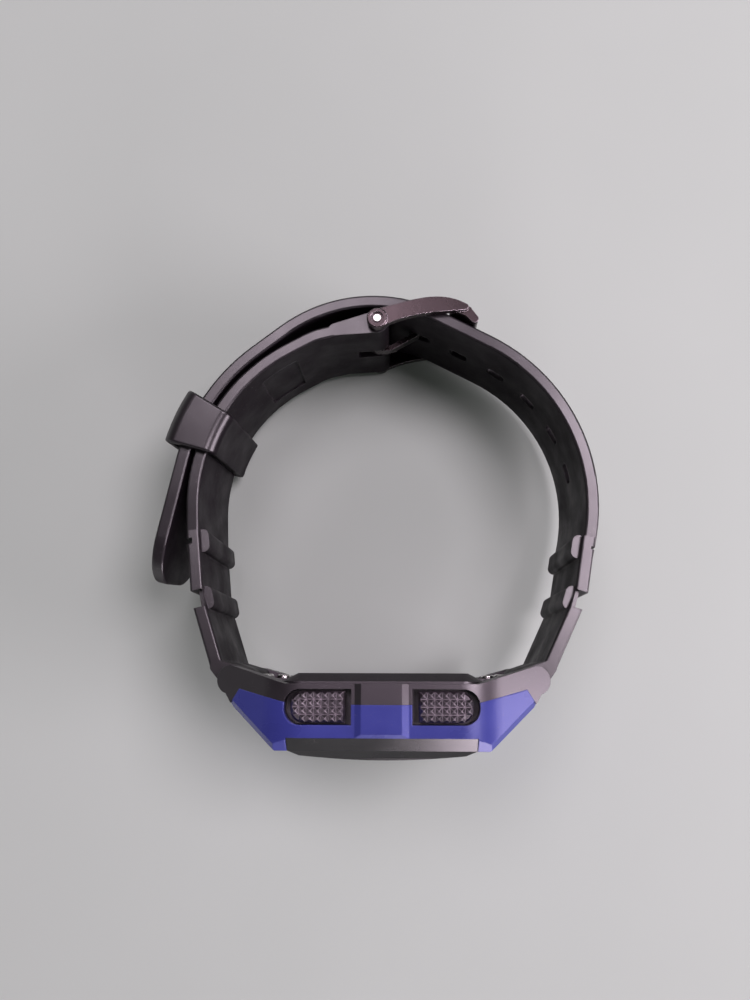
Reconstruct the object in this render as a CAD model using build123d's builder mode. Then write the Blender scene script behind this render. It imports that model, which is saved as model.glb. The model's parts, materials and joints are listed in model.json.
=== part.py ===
from build123d import *
import os
from math import atan2, degrees, sqrt

# A golf GPS watch on a buckled resin strap, lying on its 9 o'clock side.
#
# Every piece is drawn in the watch's own frame and laid down at the end:
# X runs to 6 o'clock, Y runs from the dial to the wrist, Z runs to 3 o'clock,
# and the wrist side of the case back is at Y = 0. Lengths are millimetres.

# ---------------------------------------------------------------- driving dimensions
case_length = 46.0          # lug tip to lug tip
case_width = 39.0           # 9 o'clock side to the guard at 3 o'clock
case_thickness = 11.3       # display frame to case back
strap_width = 20.0
strap_thickness = 1.9
hole_pitch = 7.1
button_length = 7.1
button_height = 4.0
button_travel = 0.9
spring_bar_diameter = 1.5
strap_side_clearance = 0.25     # strap to lugs, to the keeper and to the buckle arms
running_clearance = 0.05        # pins and stems in their bores
bar_end_gap = 0.1               # spring bars in their holes, end to end

# ---------------------------------------------------------------- case outline
case_half = case_width / 2
guard_rise = 0.5            # the guard between the buttons stands proud of the side
side_half = case_half - guard_rise
guard_half = 2.65
guard_foot = guard_half + 0.85
end_half = case_length / 2 - 0.5
side_flat = end_half - 9.3      # half length of the straight flank
end_width_half = 13.2
flank_radius = 10.0         # rounding between the straight flank and the lugs
lug_radius = 1.9
lug_bar_x = case_length / 2 - lug_radius
lug_bar_y = -0.9
shoulder_radius = 0.5       # where the raised lugs run out along the flank
lug_inner = strap_width / 2 + strap_side_clearance
lug_outer = end_width_half - 0.6
lug_wall = 0.9              # closes the spring bar holes outside
body_end = end_half - 3.5       # the case ends here between the lugs
bezel_lip = end_half - 2.1      # the bezel ends here between the lugs

mid_back = -1.4
# the line between case and bezel: level, rising towards the lugs, and down behind them
seam_y = -4.05
seam_bend = (side_flat - 0.3, -3.7)
seam_rise = (end_half - 3.1, -2.1)
seam_end = (end_half - 1.8, -4.0)
seam_corner = (end_half - 2.1, -4.5)
front_y = -case_thickness
ring_seat_y = front_y + 3.1
front_corner_y = front_y + 1.4
front_corner_x = end_half - 8.5
front_flat = end_half - 10.1
bezel_wall = 1.3
facet_width = 0.7           # facet between each flank and sloping end
front_bevel = 1.7           # bevel round the front, as wide as the first band of the display frame

# ---------------------------------------------------------------- inside of the case
cavity_x = end_half - 9.9
cavity_z = case_half - 6.1
plate_inner_y = -1.95
plate_ear_y = -0.7
plate_x = cavity_x + 1.4
plate_z = cavity_z + 1.4
plate_corner = 3.0
seat_clearance = 0.1            # case back to its seat
cavity_corner = 2.0
groove_inset = 0.35             # gasket groove round the cavity
groove_width = 0.5
plate_top = 1.1                 # height of the sloping part of the case back
plate_slope = 63.0
ear_x = end_half - 4.3
ear_z = lug_inner - 0.15
ear_corner = 1.6
screw_x = ear_x - 1.3
screw_z = ear_z - 1.3
screw_radius = 0.6
screw_head_radius = 1.15
screw_head_height = 0.6
screw_length = 4.4
screw_dome = 0.3            # rounding of the head
screw_recess = (1.3, 0.3)   # length and width of each arm of the cross
screw_recess_depth = 0.3
frame_wall = 1.0
frame_gap = 0.2
frame_x = cavity_x - frame_gap
frame_z = cavity_z - frame_gap
frame_back_y = -2.4
frame_front_y = ring_seat_y + 0.1
board_back_y = -5.9
board_thickness = 0.8
board_x = frame_x - frame_wall - 0.15
board_z = frame_z - frame_wall - 0.15

# ---------------------------------------------------------------- buttons
button_x = (guard_foot + side_flat) / 2
button_y = -4.33
pocket_margin = 0.85        # pocket longer than the cap at each end
pocket_rim = 0.25           # pocket taller than the cap on each side
pocket_square_radius = 0.7
pocket_round_radius = button_height / 2 + pocket_rim - 0.15
cap_square_radius = 0.4
cap_round_radius = button_height / 2 - 0.3
cap_edge = 0.3              # bevel round the top of the cap
pocket_floor = case_half - 3.1
cap_top = case_half - 0.45
cap_thickness = 1.3
cap_bottom = cap_top - cap_thickness
cap_socket = 0.7            # the stem enters the cap this far
stem_radius = 0.7
stem_tip = cavity_z - 0.9
spring_seat = pocket_floor - 1.6
spring_bore = 1.65
spring_radius = 1.2
spring_wire = 0.25
spring_turns = 3
gland_radius = 1.22
gland_depth = 0.9
clip_thickness = 0.3
clip_radius = 1.3
clip_plane = cavity_z - 0.1 - clip_thickness
clip_groove = 0.2           # depth of its groove round the stem
clip_mouth = 0.9            # width of its opening
seal_section = 0.22
seal_gap = 0.03
seal_height = 0.45          # above the cavity's wall
stud_columns = 7
stud_rows = 4
stud_pitch = 0.97
stud_size = 0.9
stud_height = 0.42
stud_slope = 42

# ---------------------------------------------------------------- strap route
half_band = strap_thickness / 2
band_edge = 0.35            # rounding of the strap's long edges
left_centre = Vector(-2.5, 25.0)        # both layers of the strap are round about this point
left_radius = 26.25
layer_gap = 0.6
tail_radius = left_radius + strap_thickness + layer_gap
right_centre = Vector(3.2, 24.6)
right_radius = 27.85
foot_y = 0.9
left_bend = Vector(-case_length / 2 - 4.3, 10.6)
left_foot = Vector(-case_length / 2 - 0.9, foot_y)
right_bend = Vector(case_length / 2 + 5.6, 11.0)
right_foot = Vector(case_length / 2 + 0.6, foot_y)
barrel_centre = Vector(-0.85, 52.5)
barrel_radius = 1.75
barrel_taper = barrel_centre + Vector(-6.6, -1.2)
knuckle_radius = 1.9
tail_straight = 19.3
keeper_angle = 156.2
keeper_half_angle = 7.8
keeper_wall = 1.3
keeper_clearance = 0.25
keeper_slack = 0.8          # more room outside the tail

# The links next to the case share its axes. Above them the strap bends edgewise,
# so the loop leans less than the case does.
loop_lean = 5.5
loop_shift = 0.6
loop_hinge = Location((0, 20.5, strap_width / 2))
lean = loop_hinge * Location((0, loop_shift, 0), (loop_lean, 0, 0)) * loop_hinge.inverse()


def level(y):
    """Plane parallel to the dial at height y: its x is X, its y is Z, extrusions go to the dial."""
    return Plane(origin=(0, y, 0), x_dir=(1, 0, 0), z_dir=(0, -1, 0))


def across(x):
    """Plane square to X at x: its x is Z and its y points to the dial."""
    return Plane(origin=(x, 0, 0), x_dir=(0, 0, 1), z_dir=(1, 0, 0))


def meeting(point, direction, other, other_direction):
    """Point where two lines in the XY plane cross."""
    gap = other - point
    cross = direction.X * other_direction.Y - direction.Y * other_direction.X
    along = (gap.X * other_direction.Y - gap.Y * other_direction.X) / cross
    return point + direction * along


pieces = {}


def keep(name, piece, place=Location()):
    """Collect a finished piece under its name, set in its place."""
    pieces[name] = place * piece.part
    pieces[name].label = name


# ================================================================ case
plan_corners = [
    (-end_half, -end_width_half), (-side_flat, -case_half), (side_flat, -case_half),
    (end_half, -end_width_half), (end_half, end_width_half), (side_flat, side_half),
    (guard_foot, side_half), (guard_half, case_half), (-guard_half, case_half),
    (-guard_foot, side_half), (-side_flat, side_half), (-end_half, end_width_half),
]
lug_tip_x = case_length / 2 + 0.1
side_slope = (side_half - end_width_half) / (end_half - side_flat)
lug_tip_z = end_width_half - (lug_tip_x - end_half) * side_slope
lug_plan_corners = [
    (end_half - 1, lug_inner), (lug_tip_x, lug_inner), (lug_tip_x, lug_tip_z),
    (end_half, end_width_half), (end_half - 1, end_width_half),
]

# slope of the bezel's ends, and the same line one wall further in
end_run = seam_corner[0] - front_corner_x
end_rise = seam_corner[1] - front_corner_y
end_face = sqrt(end_run ** 2 + end_rise ** 2)
core_shift = bezel_wall * end_face / end_run
core_front_x = front_corner_x + (ring_seat_y - front_corner_y - core_shift) * end_run / end_rise
core_end_x = body_end - 1.2
core_end_y = front_corner_y + core_shift + (core_end_x - front_corner_x) * end_rise / end_run
core_top_y = -2.0

# the parting line between case and bezel, from 12 to 6 o'clock
seam = [
    (-seam_end[0], seam_end[1]), (-seam_rise[0], seam_rise[1]), (-seam_bend[0], seam_bend[1]),
    (-guard_foot, seam_y), (guard_foot, seam_y), seam_bend, seam_rise, seam_end,
]


def case_plan(inset=0.0):
    """Outline of the case seen from the dial, moved in by `inset`."""
    with BuildSketch() as plan:
        with BuildLine():
            Polyline(*plan_corners, close=True)
        make_face()
        fillet([corner for corner in plan.vertices() if abs(abs(corner.X) - side_flat) < 0.01], radius=flank_radius)
        if inset:
            offset(amount=-inset, kind=Kind.INTERSECTION, mode=Mode.REPLACE)
    return plan.sketch


with BuildPart() as core:
    with BuildSketch(Plane.XY):
        with BuildLine():
            Polyline((-core_front_x, ring_seat_y), (core_front_x, ring_seat_y), (core_end_x, core_end_y),
                     (core_end_x, core_top_y), (-core_end_x, core_top_y), (-core_end_x, core_end_y),
                     close=True)
        make_face()
    extrude(amount=case_half, both=True)
    with BuildSketch(level(0)):
        add(case_plan(bezel_wall))
    extrude(amount=case_thickness, mode=Mode.INTERSECT)

with BuildPart() as lug_ends:
    for end in (-1, 1):
        for side in (-1, 1):
            with BuildSketch(Plane.XY.offset(side * lug_inner)):
                with Locations((end * lug_bar_x, lug_bar_y)):
                    Circle(lug_radius)
            extrude(amount=side * (lug_outer - lug_inner))


def round_cavity(inset, width):
    """Outline of a band round the cavity, `inset` from its edge."""
    with BuildSketch() as band:
        outer = inset + width
        RectangleRounded(2 * (cavity_x + outer), 2 * (cavity_z + outer), cavity_corner + outer)
        RectangleRounded(2 * (cavity_x + inset), 2 * (cavity_z + inset), cavity_corner + inset, mode=Mode.SUBTRACT)
    return band.sketch


def button_plane(end, side):
    """Plane of one button: x runs to the round end of the cap, z runs out of the case."""
    return Plane(origin=(end * button_x, button_y, 0), x_dir=(end, 0, 0), z_dir=(0, 0, side))


button_places = {
    "button_2": (-1, 1), "button_4": (1, 1), "button_8": (1, -1), "button_10": (-1, -1),
}


def half_round(length, height, flat_radius, round_radius):
    """Outline of a button: nearly square at one end and round at the other."""
    with BuildSketch() as outline:
        Rectangle(length, height)
        square_end, round_end = outline.vertices().group_by(Axis.X)
        fillet(round_end, radius=round_radius)
        fillet(square_end, radius=flat_radius)
    return outline.sketch


with BuildPart() as button_pockets:
    for end, side in button_places.values():
        with BuildSketch(button_plane(end, side).offset(pocket_floor)):
            add(half_round(button_length + 2 * pocket_margin, button_height + 2 * pocket_rim,
                           pocket_square_radius, pocket_round_radius))
        extrude(amount=case_half)

with BuildPart() as mid_case:
    with BuildSketch(Plane.XY) as flank:
        with BuildLine():
            Polyline((-end_half, mid_back), *seam, (end_half, mid_back), close=True)
        make_face()
        for end in (-1, 1):
            with BuildSketch(mode=Mode.PRIVATE) as lug_profile:
                with Locations((end * lug_bar_x, lug_bar_y)):
                    Circle(lug_radius)
                with Locations((end * (side_flat - shoulder_radius), mid_back - shoulder_radius)):
                    Circle(shoulder_radius)
                make_hull()
            add(lug_profile.sketch)
        # nothing but the lug ends reaches below the seam
        with BuildLine():
            Polyline((-seam_end[0], seam_y - lug_radius), *seam, (seam_end[0], seam_y - lug_radius), close=True)
        make_face(mode=Mode.SUBTRACT)
    extrude(amount=case_half, both=True)
    with BuildSketch(level(-mid_back + 2 * lug_radius)) as plan:
        add(case_plan())
        with BuildSketch(mode=Mode.PRIVATE) as lug_plan:
            with BuildLine():
                Polyline(*lug_plan_corners, close=True)
            make_face()
            mirror(about=Plane.XZ)
            mirror(about=Plane.YZ)
        add(lug_plan.sketch)
    extrude(amount=2 * case_thickness, mode=Mode.INTERSECT)
    # the raised shoulders are on the lugs only
    for end in (-1, 1):
        with Locations((end * (side_flat + case_half / 2), mid_back + lug_radius, 0)):
            Box(case_half + 1.6, 2 * lug_radius, 2 * lug_inner, mode=Mode.SUBTRACT)
    add(core.part)
    for end in (-1, 1):
        with Locations((end * (body_end + lug_radius * 2), seam_end[1] - 0.2 + 2 * lug_radius, 0)):
            Box(4 * lug_radius, 4 * lug_radius, 2 * lug_inner, mode=Mode.SUBTRACT)
    add(lug_ends.part)
    # seat of the case back, cavity, and the button pockets
    with BuildSketch(level(lug_radius)):
        RectangleRounded(2 * (plate_x + seat_clearance), 2 * (plate_z + seat_clearance), plate_corner + seat_clearance)
    extrude(amount=lug_radius - plate_inner_y, mode=Mode.SUBTRACT)
    with BuildSketch(level(mid_back)):
        Rectangle(2 * (ear_x + seat_clearance), 2 * (ear_z + seat_clearance))
    extrude(amount=mid_back - plate_inner_y, mode=Mode.SUBTRACT)
    with BuildSketch(level(plate_inner_y)):
        RectangleRounded(2 * cavity_x, 2 * cavity_z, cavity_corner)
    extrude(amount=case_thickness, mode=Mode.SUBTRACT)
    add(button_pockets.part, mode=Mode.SUBTRACT)
    for end, side in button_places.values():
        with BuildSketch(button_plane(end, side).offset(spring_seat)):
            Circle(spring_bore)
        extrude(amount=cap_bottom - spring_seat, mode=Mode.SUBTRACT)
        with BuildSketch(button_plane(end, side).offset(cavity_z - 1)):
            Circle(stem_radius + running_clearance)
        extrude(amount=cap_bottom - cavity_z, mode=Mode.SUBTRACT)
        with BuildSketch(button_plane(end, side).offset(cavity_z - 1)):
            Circle(gland_radius)
        extrude(amount=1 + gland_depth, mode=Mode.SUBTRACT)
    # gasket groove round the cavity
    with BuildSketch(level(plate_inner_y)):
        add(round_cavity(groove_inset, groove_width))
    extrude(amount=groove_width, mode=Mode.SUBTRACT)
    with BuildSketch(level(plate_inner_y)):
        with GridLocations(2 * screw_x, 2 * screw_z, 2, 2):
            Circle(screw_radius)
    extrude(amount=screw_length, mode=Mode.SUBTRACT)
    # spring bar holes in the lugs
    with BuildSketch(Plane.XY.offset(-lug_outer + lug_wall)):
        with Locations((-lug_bar_x, lug_bar_y), (lug_bar_x, lug_bar_y)):
            Circle(spring_bar_diameter / 2)
    extrude(amount=2 * (lug_outer - lug_wall), mode=Mode.SUBTRACT)
keep("mid_case", mid_case)

with BuildPart() as bezel:
    with BuildSketch(Plane.XY):
        with BuildLine():
            Polyline(*seam, seam_corner, (front_corner_x, front_corner_y), (-front_corner_x, front_corner_y),
                     (-seam_corner[0], seam_corner[1]), close=True)
        make_face()
    extrude(amount=case_half, both=True)
    with BuildSketch(level(0)):
        add(case_plan())
    extrude(amount=case_thickness, mode=Mode.INTERSECT)
    # facets between the flanks and the sloping ends, and a bevel that runs on into the display frame's
    end_faces = bezel.faces().filter_by(lambda face: abs(face.normal_at().Y + end_run / end_face) < 0.02)
    facet_edges = [edge for edge in end_faces.edges() if abs(edge.center().Z) > end_width_half + 0.5]
    chamfer(facet_edges, length=facet_width)
    for side, half in ((1, side_half), (-1, case_half)):
        with BuildSketch(across(-case_half)):
            with BuildLine():
                Polyline((side * half, -ring_seat_y), (side * (half + 1), -ring_seat_y - 1),
                         (side * (half + 1), case_thickness), (side * (half - front_bevel), -front_corner_y),
                         close=True)
            make_face()
        extrude(amount=2 * case_half, mode=Mode.SUBTRACT)
    add(core.part, mode=Mode.SUBTRACT)
    add(lug_ends.part, mode=Mode.SUBTRACT)
    add(button_pockets.part, mode=Mode.SUBTRACT)
    with Locations((0, ring_seat_y - case_thickness / 2, 0)):
        Box(2 * front_flat, case_thickness, case_width + 2, mode=Mode.SUBTRACT)
    for end in (-1, 1):
        with Locations((end * (bezel_lip + lug_radius), seam_y, 0)):
            Box(2 * lug_radius, 2 * case_thickness, 2 * lug_inner, mode=Mode.SUBTRACT)
        with Locations((end * (body_end + lug_radius), seam_y + 0.3 + lug_radius, 0)):
            Box(2 * lug_radius, 2 * lug_radius, 2 * lug_inner, mode=Mode.SUBTRACT)
keep("bezel", bezel)

# ---------------------------------------------------------------- display
ring_half_x = front_flat - 0.05
ring_edge = 0.15
ring_inset = 4.2            # from the flank to the flat front
ring_break = 0.3
opening_corner = 0.6        # corners of the opening round the display
shoulder_x = ring_half_x - 1.35
shoulder_y = front_y + 0.68     # the front is curved along the case, up to these shoulders
crystal_sink = 0.1          # crystal below the front of the frame
crystal_x = front_flat - 2.2
crystal_z = case_half - 6.3
crystal_thickness = 1.1
crystal_back_y = front_y + crystal_sink + crystal_thickness
crystal_corner = 2.4
gasket_section = 0.4
window_x = crystal_x - 1.6
window_z = crystal_z - 1.8
lcd_x = window_x + 1.0
lcd_z = window_z + 1.0
lcd_gap = 0.15
lcd_thickness = 1.3
mask_thickness = 0.3
mask_border = 0.8
mask_corner = 0.5
mask_gap = 0.1
lcd_back_y = crystal_back_y + mask_thickness + mask_gap + lcd_thickness
backlight_thickness = 0.45
backlight_gap = 0.05
backlight_inset = 0.4
backlight_back_y = lcd_back_y + backlight_thickness + backlight_gap


def curved_front(sink):
    """Side view of the display, `sink` below the front of its frame."""
    with BuildSketch() as view:
        with BuildLine():
            Polyline((shoulder_x, shoulder_y + sink), (ring_half_x, front_corner_y + sink), (ring_half_x, 0),
                     (-ring_half_x, 0), (-ring_half_x, front_corner_y + sink), (-shoulder_x, shoulder_y + sink))
            ThreePointArc((-shoulder_x, shoulder_y + sink), (0, front_y + sink), (shoulder_x, shoulder_y + sink))
        make_face()
    return view.sketch


with BuildPart() as display_frame:
    with BuildSketch(across(-ring_half_x)):
        with BuildLine():
            Polyline((-case_half + ring_edge, -ring_seat_y), (side_half - ring_edge, -ring_seat_y),
                     (side_half - ring_edge - front_bevel, -front_corner_y),
                     (side_half - ring_inset, -front_y - ring_break),
                     (side_half - ring_inset - ring_break, -front_y),
                     (-case_half + ring_inset + ring_break, -front_y),
                     (-case_half + ring_inset, -front_y - ring_break),
                     (-case_half + ring_edge + front_bevel, -front_corner_y), close=True)
        make_face()
    extrude(amount=2 * ring_half_x)
    with BuildSketch(Plane.XY):
        add(curved_front(0))
    extrude(amount=case_half, both=True, mode=Mode.INTERSECT)
    with BuildSketch(level(ring_seat_y)):
        RectangleRounded(2 * (lcd_x + lcd_gap), 2 * (lcd_z + lcd_gap), opening_corner)
    extrude(amount=ring_seat_y - crystal_back_y, mode=Mode.SUBTRACT)
    with BuildSketch(level(crystal_back_y)):
        RectangleRounded(2 * crystal_x, 2 * crystal_z, crystal_corner)
    extrude(amount=case_thickness, mode=Mode.SUBTRACT)
keep("display_frame", display_frame)

with BuildPart() as crystal_gasket:
    with BuildSketch(level(crystal_back_y)):
        RectangleRounded(2 * crystal_x, 2 * crystal_z, crystal_corner)
        RectangleRounded(2 * (crystal_x - gasket_section), 2 * (crystal_z - gasket_section),
                         crystal_corner - gasket_section, mode=Mode.SUBTRACT)
    extrude(amount=gasket_section)
keep("crystal_gasket", crystal_gasket)

with BuildPart() as crystal:
    with BuildSketch(level(crystal_back_y)):
        RectangleRounded(2 * (crystal_x - gasket_section), 2 * (crystal_z - gasket_section),
                         crystal_corner - gasket_section)
    extrude(amount=crystal_thickness)
    with BuildSketch(Plane.XY):
        add(curved_front(crystal_sink))
    extrude(amount=case_half, both=True, mode=Mode.INTERSECT)
keep("crystal", crystal)

with BuildPart() as dial_mask:
    with BuildSketch(level(crystal_back_y + mask_thickness)):
        RectangleRounded(2 * lcd_x, 2 * lcd_z, mask_corner)
        Rectangle(2 * (window_x - mask_border), 2 * (window_z - mask_border), mode=Mode.SUBTRACT)
    extrude(amount=mask_thickness)
keep("dial_mask", dial_mask)

with BuildPart() as lcd_panel:
    with BuildSketch(level(lcd_back_y)):
        Rectangle(2 * lcd_x, 2 * lcd_z)
    extrude(amount=lcd_thickness)
keep("lcd_panel", lcd_panel)

with BuildPart() as backlight_panel:
    with BuildSketch(level(backlight_back_y)):
        Rectangle(2 * lcd_x, 2 * (lcd_z - backlight_inset))
    extrude(amount=backlight_thickness)
keep("backlight_panel", backlight_panel)

# ---------------------------------------------------------------- module
frame_corner = 1.8
clip_room = 0.45            # the frame clears the stem clips by this much
board_corner = 0.7

with BuildPart() as module_frame:
    with BuildSketch(level(frame_back_y)):
        RectangleRounded(2 * frame_x, 2 * frame_z, frame_corner)
        RectangleRounded(2 * (frame_x - frame_wall), 2 * (frame_z - frame_wall), frame_corner / 2, mode=Mode.SUBTRACT)
    extrude(amount=frame_back_y - frame_front_y)
    for end, side in button_places.values():
        with BuildSketch(button_plane(end, side).offset(frame_z - 2 * frame_wall)):
            Circle(clip_radius + clip_room)
        extrude(amount=3 * frame_wall, mode=Mode.SUBTRACT)
keep("module_frame", module_frame)

with BuildPart() as main_board:
    with BuildSketch(level(board_back_y)):
        RectangleRounded(2 * board_x, 2 * board_z, board_corner)
    extrude(amount=board_thickness)
keep("main_board", main_board)

battery_margin = 0.4        # battery to the end of the board
contact_room = 4.7          # the other end of the board is left to antenna and contacts
switch_room = 2.65          # and each side to the switches
battery_length = 2 * board_x - battery_margin - contact_room
battery_x = board_x - battery_margin - battery_length / 2
battery_width = 2 * (board_z - switch_room)
battery_thickness = 3.1
battery_corner = 1.2

with BuildPart() as battery:
    with BuildSketch(level(board_back_y + battery_thickness)):
        with Locations((battery_x, 0)):
            RectangleRounded(battery_length, battery_width, battery_corner)
    extrude(amount=battery_thickness)
keep("battery", battery)

contact_x = 3.5 - cavity_x
contact_count = 4
contact_pitch = 3.0
contact_radius = 0.75
contact_pin_radius = 0.45
contact_row = (contact_count - 1) * contact_pitch / 2 + contact_pin_radius
antenna_size = 3.4
antenna_height = 2.2
antenna_gap = 0.95          # beside the contacts
antenna_margin = 0.5        # from the end of the board
antenna_x = antenna_margin + antenna_size / 2 - board_x
antenna_z = -contact_row - antenna_gap - antenna_size / 2
patch_inset = 0.4           # metal patch on the ceramic block
patch_thickness = 0.1

with BuildPart() as gps_antenna:
    with BuildSketch(level(board_back_y + antenna_height)):
        with Locations((antenna_x, antenna_z)):
            Rectangle(antenna_size, antenna_size)
    extrude(amount=antenna_height)
    with BuildSketch(level(board_back_y + antenna_height + patch_thickness)):
        with Locations((antenna_x, antenna_z)):
            Rectangle(antenna_size - 2 * patch_inset, antenna_size - 2 * patch_inset)
    extrude(amount=patch_thickness)
keep("gps_antenna", gps_antenna)

shield_size = 9.0
shield_height = 0.7
shield_corner = 0.5

with BuildPart() as gps_shield_can:
    with BuildSketch(level(board_back_y - board_thickness)):
        RectangleRounded(shield_size, shield_size, shield_corner)
    extrude(amount=shield_height)
keep("gps_shield_can", gps_shield_can)

connector_width = 1.6
connector_inset = 3.4       # from each end of the display
connector_overhang = 0.2    # past the edge of the display

with BuildPart() as display_connector:
    with BuildSketch(level(board_back_y - board_thickness)):
        with Locations((lcd_x - connector_width / 2 + connector_overhang, 0)):
            Rectangle(connector_width, 2 * (lcd_z - connector_inset))
    extrude(amount=board_back_y - board_thickness - backlight_back_y)
keep("display_connector", display_connector)

switch_width = 3.0
switch_depth = 1.1
plunger_width = 1.4
plunger_reach = 0.4
plunger_side = 0.45         # plunger beside the stem's axis, towards the board
plunger_gap = 0.2           # plunger to a stem that is pressed in
plunger_front = stem_tip - button_travel - plunger_gap
switch_front = plunger_front - plunger_reach

with BuildPart() as side_switches:
    for end, side in button_places.values():
        # a switch on the board, and its plunger facing the stem
        with BuildSketch(button_plane(end, side).offset(switch_front - switch_depth)):
            with Locations((0, -side * end * (button_y - board_back_y) / 2)):
                Rectangle(switch_width, button_y - board_back_y)
        extrude(amount=switch_depth)
        with BuildSketch(button_plane(end, side).offset(switch_front)):
            with Locations((0, -side * end * plunger_side)):
                Rectangle(plunger_width, plunger_width / 2)
        extrude(amount=plunger_reach)
keep("side_switches", side_switches)

buzzer_radius = 6.0
buzzer_thickness = 0.3

with BuildPart() as buzzer_disc:
    with BuildSketch(level(plate_inner_y)):
        Circle(buzzer_radius)
    extrude(amount=buzzer_thickness)
keep("buzzer_disc", buzzer_disc)

# ---------------------------------------------------------------- case back
with BuildPart() as case_back:
    with BuildSketch(level(-plate_top)):
        RectangleRounded(2 * plate_x, 2 * plate_z, plate_corner)
    extrude(amount=-plate_inner_y - plate_top)
    with BuildSketch(level(-plate_top)):
        RectangleRounded(2 * plate_x, 2 * plate_z, plate_corner)
    extrude(amount=-plate_top, taper=plate_slope)
    with BuildSketch(level(plate_ear_y)):
        RectangleRounded(2 * ear_x, 2 * ear_z, ear_corner)
    extrude(amount=plate_ear_y - plate_inner_y)
    with BuildSketch(level(0)):
        with GridLocations(2 * screw_x, 2 * screw_z, 2, 2):
            Circle(screw_radius + running_clearance)
    extrude(amount=case_thickness, mode=Mode.SUBTRACT)
    with BuildSketch(level(plate_top)):
        with Locations((contact_x, 0)):
            with GridLocations(0, contact_pitch, 1, contact_count):
                Circle(contact_radius)
    extrude(amount=case_thickness, mode=Mode.SUBTRACT)
keep("case_back", case_back)

with BuildPart() as case_back_gasket:
    with BuildSketch(level(plate_inner_y)):
        add(round_cavity(groove_inset + running_clearance, groove_width - 2 * running_clearance))
    extrude(amount=groove_width - running_clearance)
keep("case_back_gasket", case_back_gasket)

with BuildPart() as screw:
    with BuildSketch(level(plate_ear_y + screw_head_height)):
        Circle(screw_head_radius)
    extrude(amount=screw_head_height)
    fillet(screw.faces().sort_by(Axis.Y)[-1].edges(), radius=screw_dome)
    with BuildSketch(level(plate_ear_y + screw_head_height)):
        Rectangle(*screw_recess, rotation=45)
        Rectangle(*screw_recess, rotation=-45)
    extrude(amount=screw_recess_depth, mode=Mode.SUBTRACT)
    with BuildSketch(level(plate_ear_y)):
        Circle(screw_radius)
    extrude(amount=screw_length)

with BuildPart() as case_back_screws:
    with Locations(*[(end * screw_x, 0, side * screw_z) for end in (-1, 1) for side in (-1, 1)]):
        add(screw.part)
keep("case_back_screws", case_back_screws)

with BuildPart() as charging_contacts:
    with BuildSketch(level(0)):
        with Locations((contact_x, 0)):
            with GridLocations(0, contact_pitch, 1, contact_count):
                Circle(contact_radius)
    extrude(amount=-plate_inner_y)
    with BuildSketch(level(plate_inner_y)):
        with Locations((contact_x, 0)):
            with GridLocations(0, contact_pitch, 1, contact_count):
                Circle(contact_pin_radius)
    extrude(amount=plate_inner_y - board_back_y)
keep("charging_contacts", charging_contacts)

# ---------------------------------------------------------------- buttons
for name, (end, side) in button_places.items():
    base = button_plane(end, side)
    with BuildPart() as cap:
        with BuildSketch(base.offset(cap_bottom)):
            add(half_round(button_length, button_height, cap_square_radius, cap_round_radius))
        extrude(amount=cap_thickness - stud_height)
        chamfer(cap.faces().sort_by(Axis(base.origin, base.z_dir))[-1].edges(), length=cap_edge)
        with BuildSketch(base.offset(cap_top - stud_height)):
            with GridLocations(stud_pitch, stud_pitch, stud_columns, stud_rows):
                Rectangle(stud_size, stud_size)
            # no studs in the two rounded corners
            with Locations((stud_columns // 2 * stud_pitch, 0)):
                with GridLocations(0, (stud_rows - 1) * stud_pitch, 1, 2):
                    Rectangle(stud_pitch, stud_pitch, mode=Mode.SUBTRACT)
        extrude(amount=stud_height, taper=stud_slope)
        with BuildSketch(base.offset(cap_bottom)):
            Circle(stem_radius)
        extrude(amount=cap_socket, mode=Mode.SUBTRACT)
    keep(name + "_cap", cap)

    with BuildPart() as stem:
        with BuildSketch(base.offset(stem_tip)):
            Circle(stem_radius)
        extrude(amount=cap_bottom + cap_socket - stem_tip)
        with BuildSketch(base.offset(clip_plane)):
            Circle(stem_radius)
            Circle(stem_radius - clip_groove, mode=Mode.SUBTRACT)
        extrude(amount=clip_thickness, mode=Mode.SUBTRACT)
    keep(name + "_stem", stem)

    with BuildPart() as clip:
        with BuildSketch(base.offset(clip_plane)):
            Circle(clip_radius)
            Circle(stem_radius - clip_groove, mode=Mode.SUBTRACT)
            with Locations((clip_radius / 2, 0)):
                Rectangle(clip_radius, clip_mouth, mode=Mode.SUBTRACT)
        extrude(amount=clip_thickness)
    keep(name + "_clip", clip)

    with BuildPart() as seal:
        with BuildSketch(Plane(origin=base.offset(cavity_z + seal_height).origin, x_dir=(1, 0, 0), z_dir=(0, 1, 0))):
            with Locations((stem_radius + seal_gap + seal_section, 0)):
                Circle(seal_section)
        revolve(axis=Axis(base.origin, (0, 0, 1)))
    keep(name + "_seal", seal)

    spring_length = cap_bottom - spring_seat - 2 * spring_wire
    with BuildPart() as spring:
        with BuildLine():
            coil = Helix(pitch=spring_length / spring_turns, height=spring_length, radius=spring_radius,
                         center=base.offset(spring_seat + spring_wire).origin, direction=base.z_dir)
        with BuildSketch(Plane(origin=coil @ 0, z_dir=coil % 0)):
            Circle(spring_wire / 2)
        sweep(path=coil, is_frenet=True)
    keep(name + "_spring", spring)

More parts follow.
